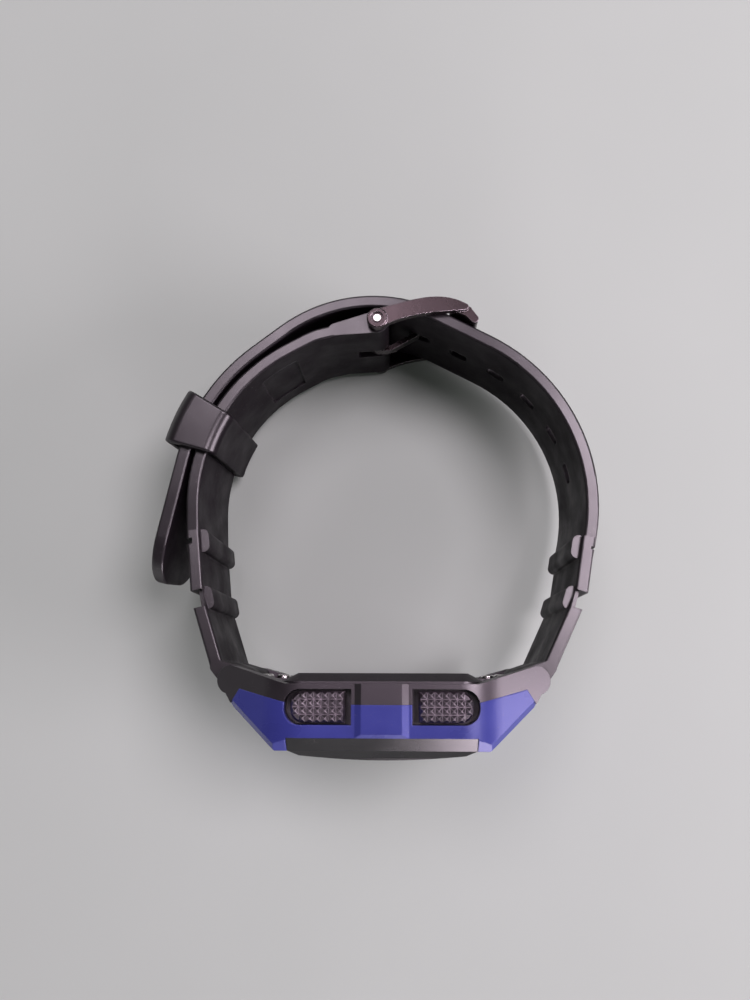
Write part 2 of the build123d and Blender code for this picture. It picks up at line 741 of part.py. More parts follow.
# ================================================================ strap
hole_arc_start = -13.5
hole_arc_end = 62.0
crown_radius = 22.5
tail_arc_start = 127.0
tail_arc_end = 167.4
buckle_arc_start = 118.0
buckle_arc_end = 182.0
barrel_straight = 4.8       # straight stretch between the round part and the barrel
barrel_bend_radius = 10.0
link_bend_radius = 6.0
lap = 2.3                   # the loop reaches this far into the links
notch_width = 0.9
notch_depth = 0.8
crease_width = 0.4
crease_depth = 0.5
gap_width = 2.6
rib_length = 3.5
rib_thickness = 1.9
rib_half_width = strap_width / 2 - 1.0
rib_sink = 1.2              # rib centre inside the middle of the band
hole_length = 3.2
hole_width = 2.3
hole_corner = 0.7
holes_before_tongue = 5
holes_after_tongue = 7
tip_radius = 7.0
barrel_slot_half = 1.4
barrel_slot_start = barrel_centre.X - 3.4
barrel_slot_length = 8.0
tongue_crossing = barrel_centre + Vector(7.2, 1.85)     # the tongue comes through the strap here
first_link = 4.8            # from the round part to the groove above the links
groove_offset = 1.6
panel_angle = 124.0
panel_length = 12.0
panel_width = 6.5
panel_depth = 0.15
panel_corner = 0.5
rib_shift = 0.3             # the ribs on the hole side lie nearer to the case


def long_edges(body):
    """Edges that run along a band on both sides of its width."""
    return [edge for edge in body.edges()
            if abs(abs(edge.center().Z) - strap_width / 2) < 0.001 and edge.length > strap_thickness + 0.1]


def place_ribs(spots):
    """Groove or part the band at its bends, and lay ribs across its inside that join the links.

    Each spot gives the middle of a bend, the way along the band there, and the cut's width and depth
    from the outside. The inside lies to the left of that way."""
    for spot, along, cut_width, cut_depth in spots:
        bed = Plane(origin=spot, x_dir=along, z_dir=(0, 0, 1))
        with BuildSketch(bed) as groove:
            with Locations((0, cut_depth / 2 - half_band - 1)):
                Rectangle(cut_width, cut_depth + 2)
        extrude(groove.sketch, amount=strap_width, both=True, mode=Mode.SUBTRACT)
        with BuildSketch(bed) as rib:
            with Locations((0, rib_sink)):
                SlotOverall(rib_length, rib_thickness)
        extrude(rib.sketch, amount=rib_half_width, both=True)


def knuckle(bar_x, foot):
    """Solid root of the strap round its spring bar."""
    with BuildSketch(Plane.XY) as root:
        with Locations((bar_x, lug_bar_y)):
            Circle(knuckle_radius)
        with Locations(foot):
            Circle(half_band)
        make_hull()
    extrude(root.sketch, amount=strap_width / 2, both=True)
    with BuildSketch(Plane.XY) as bore:
        with Locations((bar_x, lug_bar_y)):
            Circle(spring_bar_diameter / 2 + running_clearance)
    extrude(bore.sketch, amount=strap_width, both=True, mode=Mode.SUBTRACT)


with BuildPart() as hole_loop:
    with BuildSketch(Plane.XY):
        with BuildLine():
            side_arc = CenterArc(right_centre, right_radius, hole_arc_start, hole_arc_end - hole_arc_start)
            tail_arc = CenterArc(left_centre, tail_radius, tail_arc_start, tail_arc_end - tail_arc_start)
            crown = meeting(side_arc @ 1, side_arc % 1, tail_arc @ 0, tail_arc % 0)
            over_buckle = FilletPolyline(side_arc @ 1, crown, tail_arc @ 0, radius=crown_radius)
            tail_line = Line(tail_arc @ 1, tail_arc @ 1 + (tail_arc % 1) * tail_straight)
            Line(side_arc @ 0 - (side_arc % 0) * lap, side_arc @ 0)
        trace(line_width=strap_thickness)
    extrude(amount=strap_width / 2, both=True)
    # rounded tip
    tail_tip = tail_line @ 1
    tip_corners = hole_loop.edges().filter_by(
        lambda edge: (edge.center() - tail_tip).length > strap_width / 2 - 0.1
        and Vector(edge.center().X - tail_tip.X, edge.center().Y - tail_tip.Y).length < 0.1)
    fillet(tip_corners, radius=tip_radius)
    tip_edges = [edge for edge in hole_loop.edges()
                 if (edge.center() - tail_tip).length < strap_width / 2 and edge.length > strap_thickness + 0.1]
    fillet(ShapeList(set(long_edges(hole_loop) + tip_edges)), radius=band_edge)
    # adjustment holes, one of them round the tongue
    route = Wire(side_arc.edges() + over_buckle.edges() + tail_arc.edges() + tail_line.edges())
    tongue_hole = side_arc.length + (side_arc @ 1 - tongue_crossing).length
    for step in range(-holes_before_tongue, holes_after_tongue + 1):
        reach = tongue_hole + step * hole_pitch
        spot = route.position_at(reach, position_mode=PositionMode.LENGTH)
        along = route.tangent_at(reach, position_mode=PositionMode.LENGTH)
        with BuildSketch(Plane(origin=spot, x_dir=along, z_dir=(along.Y, -along.X, 0))):
            RectangleRounded(hole_length, hole_width, hole_corner)
        extrude(amount=strap_thickness, both=True, mode=Mode.SUBTRACT)

with BuildPart() as strap_hole_side:
    loop_end = (lean * Location(side_arc @ 0)).position
    loop_end = Vector(loop_end.X, loop_end.Y)
    with BuildSketch(Plane.XY):
        with BuildLine():
            FilletPolyline(loop_end, right_bend, right_foot, radius=link_bend_radius)
        trace(line_width=strap_thickness)
    extrude(amount=strap_width / 2, both=True)
    fillet(long_edges(strap_hole_side), radius=band_edge)
    add(lean * hole_loop.part)
    knuckle(lug_bar_x, right_foot)
    upward = (loop_end - right_bend).normalized()
    bend_up = (right_bend - right_foot).normalized() + upward
    place_ribs([
        (loop_end - upward * groove_offset, upward, crease_width, crease_depth),
        (right_bend - bend_up * rib_shift, bend_up, gap_width, strap_thickness),
    ])
keep("strap_hole_side", strap_hole_side)

with BuildPart() as buckle_loop:
    with BuildSketch(Plane.XY):
        with BuildLine():
            round_arc = CenterArc(left_centre, left_radius, buckle_arc_start, buckle_arc_end - buckle_arc_start)
            barrel_turn = round_arc @ 0 - (round_arc % 0) * barrel_straight
            FilletPolyline(round_arc @ 0, barrel_turn, barrel_centre, radius=barrel_bend_radius)
            loop_foot = round_arc @ 1 + (round_arc % 1) * first_link
            Line(round_arc @ 1, loop_foot + (round_arc % 1) * lap)
        trace(line_width=strap_thickness)
    extrude(amount=strap_width / 2, both=True)
    fillet(long_edges(buckle_loop), radius=band_edge)
    with BuildSketch(Plane.XY):
        with Locations(barrel_centre):
            Circle(barrel_radius)
        with Locations(barrel_taper):
            Circle(half_band)
        make_hull()
    extrude(amount=strap_width / 2, both=True)
    with BuildSketch(Plane.XY):
        with Locations(barrel_centre):
            Circle(spring_bar_diameter / 2)
    extrude(amount=strap_width, both=True, mode=Mode.SUBTRACT)
    # the tongue turns in a slot in the barrel
    with Locations((barrel_slot_start + barrel_slot_length / 2, barrel_centre.Y, 0)):
        Box(barrel_slot_length, 4 * barrel_radius, 2 * barrel_slot_half, mode=Mode.SUBTRACT)
    # shallow plain panel moulded in the inner face
    with BuildSketch(Plane(origin=left_centre, x_dir=(0, 0, 1), z_dir=Vector(1, 0, 0).rotate(Axis.Z, panel_angle)
                           ).offset(left_radius - strap_thickness)):
        RectangleRounded(panel_length, panel_width, panel_corner)
    extrude(amount=half_band + panel_depth, mode=Mode.SUBTRACT)

with BuildPart() as strap_buckle_side:
    loop_start = (lean * Location(loop_foot)).position
    loop_start = Vector(loop_start.X, loop_start.Y)
    with BuildSketch(Plane.XY):
        with BuildLine():
            FilletPolyline(loop_start, left_bend, left_foot, radius=link_bend_radius)
        trace(line_width=strap_thickness)
    extrude(amount=strap_width / 2, both=True)
    fillet(long_edges(strap_buckle_side), radius=band_edge)
    add(lean * buckle_loop.part)
    knuckle(-lug_bar_x, left_foot)
    downward = (left_bend - loop_start).normalized()
    bend_down = (left_foot - left_bend).normalized() + downward
    place_ribs([
        (loop_start + downward * groove_offset, downward, notch_width, notch_depth),
        (left_bend, bend_down, gap_width, strap_thickness),
    ])
keep("strap_buckle_side", strap_buckle_side)

for name, bar_x in {"lug_bar_12": -lug_bar_x, "lug_bar_6": lug_bar_x}.items():
    with BuildPart() as bar:
        with BuildSketch(Plane.XY):
            with Locations((bar_x, lug_bar_y)):
                Circle(spring_bar_diameter / 2)
        extrude(amount=lug_outer - lug_wall - bar_end_gap, both=True)
    keep(name, bar)

# ---------------------------------------------------------------- keeper
keeper_inner = left_radius - half_band - keeper_clearance
keeper_outer = tail_radius + half_band + keeper_clearance + keeper_slack
keeper_half_width = strap_width / 2 + keeper_clearance + keeper_wall + 0.1
keeper_corner = 2.0
keeper_slot_corner = 0.8
keeper_rim = 0.4


def ring_sector(inner, outer, middle, half_angle):
    """Outline of a piece of a ring about the strap's round centre."""
    with BuildLine() as outline:
        low = CenterArc(left_centre, inner, middle - half_angle, 2 * half_angle)
        high = CenterArc(left_centre, outer, middle - half_angle, 2 * half_angle)
        Line(low @ 0, high @ 0)
        Line(low @ 1, high @ 1)
    return outline.line


with BuildPart() as keeper_slot:
    with BuildSketch(Plane.XY):
        add(ring_sector(keeper_inner, keeper_outer, keeper_angle, keeper_half_angle + 1))
        make_face()
    extrude(amount=strap_width / 2 + keeper_clearance, both=True)
    fillet(keeper_slot.edges().filter_by(GeomType.CIRCLE), radius=keeper_slot_corner)

with BuildPart() as keeper:
    with BuildSketch(Plane.XY):
        add(ring_sector(keeper_inner - keeper_wall, keeper_outer + keeper_wall, keeper_angle, keeper_half_angle))
        make_face()
    extrude(amount=keeper_half_width, both=True)
    fillet(keeper.edges().filter_by(GeomType.CIRCLE), radius=keeper_corner)
    rims = keeper.faces().filter_by(GeomType.PLANE).filter_by(lambda face: abs(face.normal_at().Z) < 0.1)
    fillet(rims.edges(), radius=keeper_rim)
    add(keeper_slot.part, mode=Mode.SUBTRACT)
keep("keeper", keeper, lean)

# ---------------------------------------------------------------- buckle
arm_inner = strap_width / 2 + strap_side_clearance
arm_thickness = 1.15
eye_thickness = 1.35
buckle_half = arm_inner + eye_thickness
eye_radius = 1.6
eye_edge = 0.2
bar_tip_radius = 0.55
eye_recess = 0.35
crest = barrel_centre + Vector(8.6, 3.3)
arm_tip = barrel_centre + Vector(13.95, 1.65)
arm_tip_width = 1.0
waist = barrel_centre + Vector(4.0, 0.0)
toe = barrel_centre + Vector(12.85, 1.6)
toe_tilt = -22.0
toe_length = 3.3
toe_thickness = 1.5
toe_corner = 0.5
lip_end = barrel_centre + Vector(14.9, -0.05)   # the toe turns down towards the strap
lip_radius = 0.6
tongue_half_width = 0.85
tongue_thickness = 0.8
tongue_eye = 1.6

# the eye stands proud of the arm, with a recess round the end of the bar
with BuildPart() as buckle_eye:
    with BuildSketch(Plane.XY.offset(arm_inner)):
        with Locations(barrel_centre):
            Circle(eye_radius)
    extrude(amount=eye_thickness)
    chamfer(buckle_eye.faces().sort_by(Axis.Z)[-1].edges(), length=eye_edge)

with BuildPart() as buckle_frame:
    with BuildSketch(Plane.XY.offset(arm_inner)):
        with BuildLine():
            top = Spline(barrel_centre + Vector(0, eye_radius - 0.1), barrel_centre + Vector(3.0, 2.25), crest,
                         arm_tip + Vector(-0.4, arm_tip_width / 2))
            tip = ThreePointArc(top @ 1, arm_tip, arm_tip + Vector(-0.4, -arm_tip_width / 2))
            under = Spline(tip @ 1, toe + Vector(-4.1, -0.75), waist, barrel_centre + Vector(0.9, -eye_radius + 0.4))
            Line(under @ 1, top @ 0)
        make_face()
    extrude(amount=arm_thickness)
    add(buckle_eye.part)
    with BuildSketch(Plane.XY.offset(buckle_half)):
        with Locations(barrel_centre):
            Circle(eye_radius * 0.6)
    extrude(amount=-eye_recess, mode=Mode.SUBTRACT)
    mirror(about=Plane.XY)
    with BuildSketch(Plane.XY):
        with Locations(Location(toe, (0, 0, toe_tilt))):
            RectangleRounded(toe_length, toe_thickness, toe_corner)
        with BuildSketch(mode=Mode.PRIVATE) as lip:
            with Locations(toe + Vector(1.0, -0.4)):
                Circle(toe_thickness / 2 - 0.05)
            with Locations(lip_end):
                Circle(lip_radius)
            make_hull()
        add(lip.sketch)
    extrude(amount=arm_inner + 0.5, both=True)
    with BuildSketch(Plane.XY):
        with Locations(barrel_centre):
            Circle(bar_tip_radius + running_clearance)
    extrude(amount=strap_width, both=True, mode=Mode.SUBTRACT)
keep("buckle_frame", buckle_frame, lean)

with BuildPart() as buckle_tongue:
    with BuildSketch(Plane.XY):
        with BuildLine():
            FilletPolyline(barrel_centre + Vector(0, 0.4 - tongue_eye), barrel_centre + Vector(1.9, -1.1),
                           toe + Vector(-2.05, 2.2), toe + Vector(1.45, 0.76), radius=1.6)
        trace(line_width=tongue_thickness)
        with Locations(barrel_centre):
            Circle(tongue_eye)
        with Locations(barrel_centre):
            Circle(spring_bar_diameter / 2 + running_clearance, mode=Mode.SUBTRACT)
    extrude(amount=tongue_half_width, both=True)
keep("buckle_tongue", buckle_tongue, lean)

with BuildPart() as buckle_bar:
    with BuildSketch(Plane.XY):
        with Locations(barrel_centre):
            Circle(spring_bar_diameter / 2)
    extrude(amount=arm_inner - bar_end_gap, both=True)
    with BuildSketch(Plane.XY):
        with Locations(barrel_centre):
            Circle(bar_tip_radius)
    extrude(amount=buckle_half - running_clearance, both=True)
keep("buckle_bar", buckle_bar, lean)

# ================================================================ laying the watch down
# It rests on the back edge of the 9 o'clock flank and on the lower buckle arm, at its crest or its eye.
rests = [(buckle_frame.part.bounding_box().max.Y, arm_inner + arm_thickness),
         (barrel_centre.Y + eye_radius - eye_edge, buckle_half)]
rests = [(lean * Location((0, y, -z))).position for y, z in rests]
lay_angle = min(degrees(atan2(spot.Z + case_half, spot.Y - mid_back)) for spot in rests)
turned = Location((0, 0, 0), (-lay_angle, 0, 0))
size = Compound(children=[turned * piece for piece in pieces.values()]).bounding_box()
lay = Location((-size.center().X, -size.center().Y, -size.min.Z)) * turned

os.makedirs("parts", exist_ok=True)
for name, piece in pieces.items():
    laid = lay * piece
    laid.label = name
    export_step(laid, f"parts/{name}.step")
print(f"{len(pieces)} pieces, laid at {lay_angle:.2f} degrees, size {size.size}")
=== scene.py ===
import json
from math import radians

import bpy
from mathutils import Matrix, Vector


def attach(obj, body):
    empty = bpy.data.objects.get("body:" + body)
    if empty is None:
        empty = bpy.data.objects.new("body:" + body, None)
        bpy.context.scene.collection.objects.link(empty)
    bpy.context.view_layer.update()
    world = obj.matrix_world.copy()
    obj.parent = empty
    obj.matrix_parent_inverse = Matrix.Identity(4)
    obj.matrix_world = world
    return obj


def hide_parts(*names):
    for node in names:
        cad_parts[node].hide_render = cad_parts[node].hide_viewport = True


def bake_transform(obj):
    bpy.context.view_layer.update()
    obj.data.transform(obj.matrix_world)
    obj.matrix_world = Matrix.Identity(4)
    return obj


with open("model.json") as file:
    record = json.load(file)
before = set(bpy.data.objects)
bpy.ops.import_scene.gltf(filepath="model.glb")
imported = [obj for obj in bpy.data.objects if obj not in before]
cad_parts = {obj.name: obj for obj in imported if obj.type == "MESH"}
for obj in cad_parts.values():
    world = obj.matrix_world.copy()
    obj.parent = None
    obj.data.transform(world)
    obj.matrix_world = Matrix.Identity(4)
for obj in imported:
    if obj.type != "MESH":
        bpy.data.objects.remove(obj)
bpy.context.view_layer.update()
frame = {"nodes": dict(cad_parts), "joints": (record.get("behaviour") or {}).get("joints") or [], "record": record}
nodes = frame["nodes"]
scene = bpy.context.scene
scene.view_settings.view_transform = "Standard"

# ---------------------------------------------------------------- camera
# It looks down through the closed loop from 0.1 m above it, and leans as the photograph does.
CAMERA_PLACE = (0.00425, -0.00055, 0.13612)
CAMERA_TURN = (2.501, 1.882, -0.180)  # degrees about X, Y and Z from straight down
LENS_MM = 27
SENSOR_HEIGHT_MM = 36
NEAREST = 0.005

camera_data = bpy.data.cameras.new("camera")
camera_data.sensor_fit = "VERTICAL"
camera_data.sensor_height = SENSOR_HEIGHT_MM
camera_data.lens = LENS_MM
camera_data.clip_start = NEAREST
camera = bpy.data.objects.new("camera", camera_data)
camera.location = CAMERA_PLACE
camera.rotation_euler = [radians(angle) for angle in CAMERA_TURN]
scene.collection.objects.link(camera)
scene.camera = camera

# ---------------------------------------------------------------- light
# The sky is dark overhead. Its horizon is bright, and most so to the right and a little to the dial's side.
WHITE = (1.0, 1.0, 1.0)
BRIGHT_TOWARDS = (0.85, -0.5, 0)
HORIZON_DULL, HORIZON_BRIGHT = 0.40, 0.85
OVERHEAD = 0.10
OVERHEAD_FROM = 0.45  # the upward part of a direction where the overhead strength is reached

# Each lamp's place, width and power.
LAMPS = {
    "key": ((0.25, 0.17, 0.54), 0.26, 2.1),
    "fill": ((-0.08, 0.28, 0.52), 0.22, 0.8),
    "side": ((0.52, -0.12, 0.21), 0.30, 2.0),
    "front": ((0.14, -0.56, 0.13), 0.22, 1.4),
}
LAMP_TARGET = Vector((0, 0, 0.02))  # in the middle of the loop, at half its height
LAMP_COLOUR = (1.0, 0.85, 0.97)

world = bpy.data.worlds.new("studio")
scene.world = world
world.use_nodes = True
sky = world.node_tree.nodes
link_sky = world.node_tree.links.new
direction = sky.new("ShaderNodeTexCoord").outputs["Generated"]
height = sky.new("ShaderNodeSeparateXYZ")
link_sky(direction, height.inputs[0])
bright_side = sky.new("ShaderNodeVectorMath")
bright_side.operation = "DOT_PRODUCT"
bright_side.inputs[1].default_value = BRIGHT_TOWARDS
link_sky(direction, bright_side.inputs[0])
horizon = sky.new("ShaderNodeMapRange")
horizon.inputs["From Min"].default_value = -1
horizon.inputs["To Min"].default_value = HORIZON_DULL
horizon.inputs["To Max"].default_value = HORIZON_BRIGHT
link_sky(bright_side.outputs["Value"], horizon.inputs["Value"])
strength = sky.new("ShaderNodeMapRange")
strength.inputs["From Max"].default_value = OVERHEAD_FROM
strength.inputs["To Max"].default_value = OVERHEAD
link_sky(horizon.outputs[0], strength.inputs["To Min"])
link_sky(height.outputs["Z"], strength.inputs["Value"])
link_sky(strength.outputs[0], sky["Background"].inputs["Strength"])
sky["Background"].inputs["Color"].default_value = (*WHITE, 1)

for name, (place, width, power) in LAMPS.items():
    light = bpy.data.lights.new(name, "AREA")
    light.color = LAMP_COLOUR
    light.shape = "DISK"
    light.size = width
    light.energy = power
    lamp = bpy.data.objects.new(name, light)
    lamp.location = place
    lamp.rotation_euler = (LAMP_TARGET - lamp.location).to_track_quat("-Z", "Y").to_euler()
    scene.collection.objects.link(lamp)

# ---------------------------------------------------------------- materials
# Sizes of the surface patterns, in metres.
PATCH_SIZE = 0.006
GRAIN_SIZE = 0.00018
LUMP_SIZE = 0.0014
WEAR_AND_HIGHLIGHT_SIZE = 0.0022
SCRATCH_SIZE = 0.0011
SPECK_SIZE = 0.00035
METAL_PATCH_SIZE = 0.004
METAL_GRAIN_SIZE = 0.0003
METAL_WEAR_AND_HIGHLIGHT_SIZE = 0.0016
SMEAR_SIZE = 0.005

# Where a pattern starts to show in its noise, and where it is full.
PATCH_RANGE = (0.3, 0.7)
GRAIN_RANGE = (0.2, 0.8)
WEAR_AND_HIGHLIGHT_RANGE = (0.35, 0.6)
METAL_WEAR_AND_HIGHLIGHT_RANGE = (0.3, 0.6)
SCRATCH_RANGE = (0.70, 0.74)
SPECK_RANGE = (0.66, 0.72)
DUSTY_RANGE = (0.45, 0.65)
SMEAR_RANGE = (0.45, 0.7)

# Cosines of an edge's turn away from its face, where the lighter edge colour starts and where it is full; it is
# wear, and on the blue resin, the button studs and the buckle painted highlight too.
EDGE_TURN = (0.995, 0.85)
BEVEL_SAMPLES = 4

RESIN_COLOUR_SPREAD = 0.18
RESIN_GRAIN_HEIGHT = 0.00003
LUMP_STRENGTH = 0.8
# An edge's wear and painted highlight are uneven, between these parts of their full strength.
RESIN_WEAR_AND_HIGHLIGHT_PARTS = (0.15, 1.0)
METAL_WEAR_AND_HIGHLIGHT_PARTS = (0.2, 0.9)
RUB_SMOOTHS = 0.1  # what full rubbing takes off the roughness
# Resin edges painted lighter, as wear and on the blue resin partly as painted highlight, are this much lighter,
# and this much is added to them.
WORN_AND_HIGHLIGHT_LIGHTER, WORN_AND_HIGHLIGHT_LIFT = 1.9, 0.06
SCRATCH_STRETCH = (1, 14, 3)
SCRATCH_BEND = 0.4
SCRATCH_DULLS = 0.16  # what a scratch adds to the roughness
DUST_COLOUR = (0.16, 0.15, 0.15)
COAT_LEAST = 0.7  # the part of the coat that is left in the dullest patches

METAL_COLOUR_SPREAD = 0.15
METAL_GRAIN_HEIGHT = 0.00002
METAL_GRAIN_STRENGTH = 0.12
METAL_UNEVEN = 0.06
METAL_GRAIN_UNEVEN = 0.03

ACRYLIC_COLOUR = (0.97, 0.98, 0.98, 1)
ACRYLIC_IOR = 1.49
SMEAR_BEND = 1.5
SMEAR_ROUGHNESS = (0.01, 0.07)


def shade(colour, factor, lift=0.0):
    """A colour made lighter or darker, no brighter than white."""
    return tuple(min(1, lift + factor * channel) for channel in colour)


class Look:
    """A procedural material built round one Principled shader."""

    def __init__(self, name, plain):
        """Plain holds the shader's fixed values by socket."""
        self.mat = bpy.data.materials.new(name)
        self.mat.use_nodes = True
        self.tree = self.mat.node_tree
        self.shader = self.tree.nodes["Principled BSDF"]
        for socket, value in plain.items():
            self.shader.inputs[socket].default_value = value
        self.place = self.tree.nodes.new("ShaderNodeTexCoord").outputs["Object"]

    def feed(self, value, socket):
        """Link an output to a socket, or set the socket to a number or a colour."""
        if isinstance(value, bpy.types.NodeSocket):
            self.tree.links.new(value, socket)
        elif isinstance(value, tuple):
            socket.default_value = (*value, 1)
        else:
            socket.default_value = value

    def set(self, socket, value):
        """The same for one of the shader's own sockets."""
        self.feed(value, self.shader.inputs[socket])

    def noise(self, size, detail=2, stretch=None, bend=0.0):
        """Noise from 0 to 1 with patches of about this size in metres."""
        node = self.tree.nodes.new("ShaderNodeTexNoise")
        node.inputs["Scale"].default_value = 1 / size
        node.inputs["Detail"].default_value = detail
        node.inputs["Distortion"].default_value = bend
        where = self.place
        if stretch:
            mapping = self.tree.nodes.new("ShaderNodeMapping")
            mapping.inputs["Scale"].default_value = stretch
            self.feed(where, mapping.inputs["Vector"])
            where = mapping.outputs[0]
        self.feed(where, node.inputs["Vector"])
        return node.outputs["Fac"]

    def ramp(self, value, source, target=(0.0, 1.0)):
        """A value carried from one range to another, and held at the ends."""
        node = self.tree.nodes.new("ShaderNodeMapRange")
        for socket, number in zip(("From Min", "From Max", "To Min", "To Max"), (*source, *target)):
            node.inputs[socket].default_value = number
        self.feed(value, node.inputs["Value"])
        return node.outputs[0]

    def combine(self, operation, one, other):
        """One step of arithmetic on two values, each an output or a number."""
        node = self.tree.nodes.new("ShaderNodeMath")
        node.operation = operation
        self.feed(one, node.inputs[0])
        self.feed(other, node.inputs[1])
        return node.outputs[0]

    def blend(self, factor, one, other):
        """Mix two colours, each an output or a plain colour."""
        node = self.tree.nodes.new("ShaderNodeMix")
        node.data_type = "RGBA"
        self.feed(factor, node.inputs["Factor"])
        self.feed(one, node.inputs["A"])
        self.feed(other, node.inputs["B"])
        return node.outputs["Result"]

    def normal(self, grain, strength, distance, edge):
        """Rounded edges with a fine grain on top. Returns how far an edge turns the surface."""
        bevel = self.tree.nodes.new("ShaderNodeBevel")
        bevel.samples = BEVEL_SAMPLES
        bevel.inputs["Radius"].default_value = edge
        self.rounded = bevel.outputs[0]
        bump = self.tree.nodes.new("ShaderNodeBump")
        bump.inputs["Strength"].default_value = strength
        bump.inputs["Distance"].default_value = distance
        self.feed(grain, bump.inputs["Height"])
        self.feed(self.rounded, bump.inputs["Normal"])
        self.set("Normal", bump.outputs[0])
        face = self.tree.nodes.new("ShaderNodeNewGeometry")
        across = self.tree.nodes.new("ShaderNodeVectorMath")
        across.operation = "DOT_PRODUCT"
        self.feed(self.rounded, across.inputs[0])
        self.feed(face.outputs["Normal"], across.inputs[1])
        return self.ramp(across.outputs["Value"], EDGE_TURN)

    def level(self):
        """How level the rounded surface lies: 1 where it faces up or down, 0 where it is upright."""
        facing = self.tree.nodes.new("ShaderNodeSeparateXYZ")
        self.feed(self.rounded, facing.inputs[0])
        return self.combine("MULTIPLY", facing.outputs["Z"], facing.outputs["Z"])


def resin(name, colour, roughness, grain=0.3, specular=0.5, tint=WHITE, coat=0.0, coat_roughness=0.1,
          coat_ior=1.5, edge=0.00015, wear_and_highlight=0.35, worn_and_highlight_colour=None, dust=0.5, uneven=0.07, coat_levels=None):
    """Moulded resin: fine grain, uneven gloss, edges painted lighter as wear and on some resins as painted
    highlight, hairline scratches and a little dust.

    With coat_levels, the coat is only on surfaces that lie level: from none to full between the two.
    """
    look = Look(name, {"Specular IOR Level": specular, "Specular Tint": (*tint, 1), "Coat Weight": coat,
                       "Coat Roughness": coat_roughness, "Coat IOR": coat_ior})
    patches = look.noise(PATCH_SIZE, detail=4)
    lumps = look.ramp(look.noise(LUMP_SIZE, detail=3), GRAIN_RANGE, (0.0, LUMP_STRENGTH))
    relief = look.combine("ADD", look.noise(GRAIN_SIZE), lumps)
    edges = look.normal(relief, grain, RESIN_GRAIN_HEIGHT, edge)
    uneven_wear_and_highlight = look.ramp(look.noise(WEAR_AND_HIGHLIGHT_SIZE, detail=5), WEAR_AND_HIGHLIGHT_RANGE, RESIN_WEAR_AND_HIGHLIGHT_PARTS)
    rubbed_and_highlit = look.combine("MULTIPLY", edges, uneven_wear_and_highlight)
    scratches = look.ramp(look.noise(SCRATCH_SIZE, 1, SCRATCH_STRETCH, SCRATCH_BEND), SCRATCH_RANGE)
    specks = look.ramp(look.noise(SPECK_SIZE, detail=3), SPECK_RANGE, (0.0, dust))

    base = look.blend(patches, shade(colour, 1 - RESIN_COLOUR_SPREAD), shade(colour, 1 + RESIN_COLOUR_SPREAD))
    # Edges are painted lighter: wear on most resins, partly painted highlight on the blue resin, and painted
    # highlight on the button studs.
    worn_and_highlight_colour = worn_and_highlight_colour or shade(colour, WORN_AND_HIGHLIGHT_LIGHTER, WORN_AND_HIGHLIGHT_LIFT)
    base = look.blend(look.combine("MULTIPLY", rubbed_and_highlit, wear_and_highlight), base, worn_and_highlight_colour)
    base = look.blend(look.combine("MULTIPLY", specks, look.ramp(patches, DUSTY_RANGE)), base, DUST_COLOUR)
    look.set("Base Color", base)

    dull = look.combine("ADD", look.ramp(patches, PATCH_RANGE, (roughness - uneven, roughness + uneven)),
                        look.combine("MULTIPLY", scratches, SCRATCH_DULLS))
    look.set("Roughness", look.combine("SUBTRACT", dull, look.combine("MULTIPLY", rubbed_and_highlit, RUB_SMOOTHS)))
    if coat_levels:
        look.set("Coat Weight", look.combine("MULTIPLY", look.ramp(look.level(), coat_levels),
                                             look.ramp(patches, PATCH_RANGE, (COAT_LEAST * coat, coat))))
    return look.mat


def metal(name, colour, roughness, metallic=1.0, edge=0.00008, rubbed_and_highlight_colour=None):
    """Plated or bare metal: fine grain, uneven polish, and edges painted brighter where it is plated, partly
    rubbed plating and partly painted highlight.
    """
    look = Look(name, {"Metallic": metallic})
    patches = look.noise(METAL_PATCH_SIZE, detail=4)
    grain = look.noise(METAL_GRAIN_SIZE)
    edges = look.normal(grain, METAL_GRAIN_STRENGTH, METAL_GRAIN_HEIGHT, edge)
    base = look.blend(patches, shade(colour, 1 - METAL_COLOUR_SPREAD), shade(colour, 1 + METAL_COLOUR_SPREAD))
    if rubbed_and_highlight_colour:
        # Brighter edges: partly rubbed plating, partly painted highlight.
        uneven_wear_and_highlight = look.ramp(look.noise(METAL_WEAR_AND_HIGHLIGHT_SIZE, detail=4), METAL_WEAR_AND_HIGHLIGHT_RANGE, METAL_WEAR_AND_HIGHLIGHT_PARTS)
        base = look.blend(look.combine("MULTIPLY", edges, uneven_wear_and_highlight), base, rubbed_and_highlight_colour)
    look.set("Base Color", base)
    polish = look.ramp(patches, PATCH_RANGE, (roughness - METAL_UNEVEN, roughness + METAL_UNEVEN))
    fine = look.ramp(grain, GRAIN_RANGE, (-METAL_GRAIN_UNEVEN, METAL_GRAIN_UNEVEN))
    look.set("Roughness", look.combine("ADD", polish, fine))
    return look.mat


def glass(name):
    """Acrylic crystal with faint smears."""
    look = Look(name, {"Base Color": ACRYLIC_COLOUR, "Transmission Weight": 1.0, "IOR": ACRYLIC_IOR})
    smears = look.noise(SMEAR_SIZE, detail=4, bend=SMEAR_BEND)
    look.set("Roughness", look.ramp(smears, SMEAR_RANGE, SMEAR_ROUGHNESS))
    return look.mat


